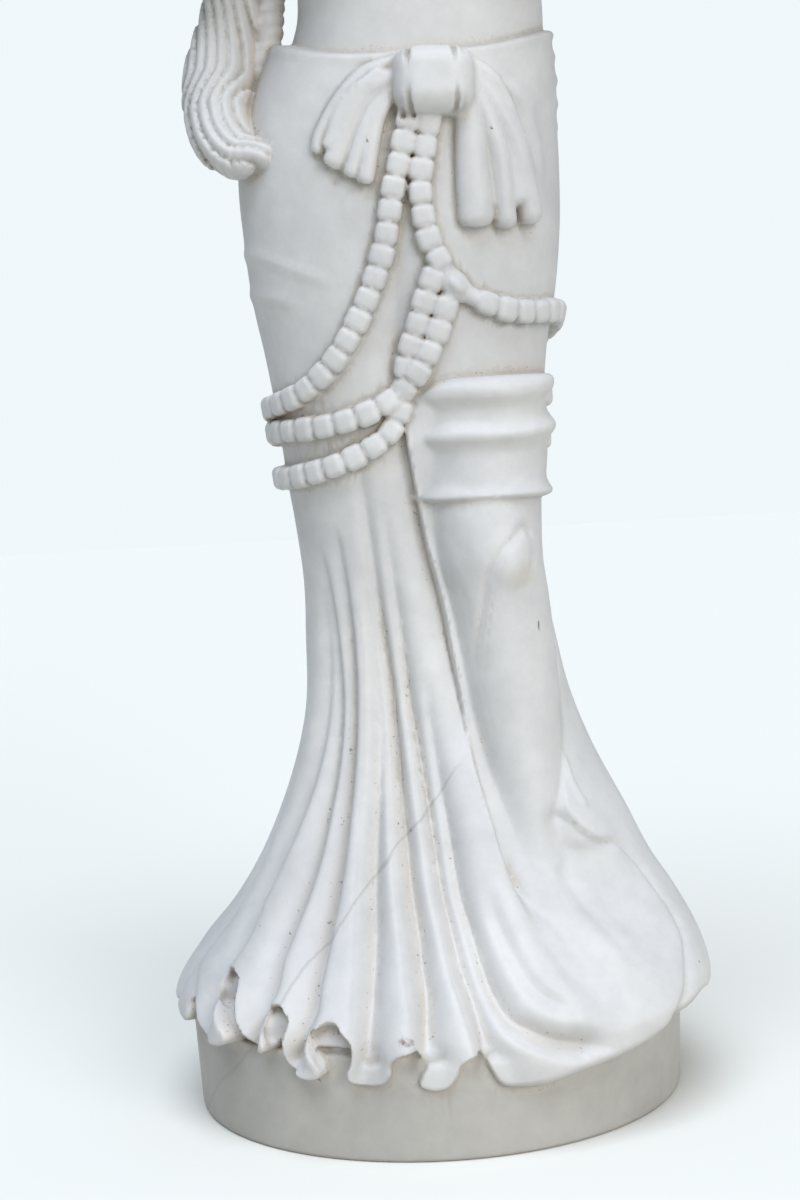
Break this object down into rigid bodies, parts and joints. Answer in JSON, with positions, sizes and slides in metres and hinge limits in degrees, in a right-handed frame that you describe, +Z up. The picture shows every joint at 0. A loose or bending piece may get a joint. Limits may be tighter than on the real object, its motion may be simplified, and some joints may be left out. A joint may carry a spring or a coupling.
{
  "type": "draped female statue",
  "caption": "Standing draped woman carved in white marble on a low round plinth, with a knotted skirt, bare left knee, bead strings, organ-pipe hem folds and a long tress.",
  "frame": {"origin": "centre of the plinth's underside", "axes": "+Z up along the figure's height, -Y the way she faces, +X her left side"},
  "size_m": [0.5378, 0.5264, 1.72],
  "materials": {
    "marble": "matt to satin worn white marble with faint grey clouding, warm dirt in the hollows and a duller plinth"
  },
  "bodies": {
    "root": {"statue": "marble"}
  },
  "joints": []
}
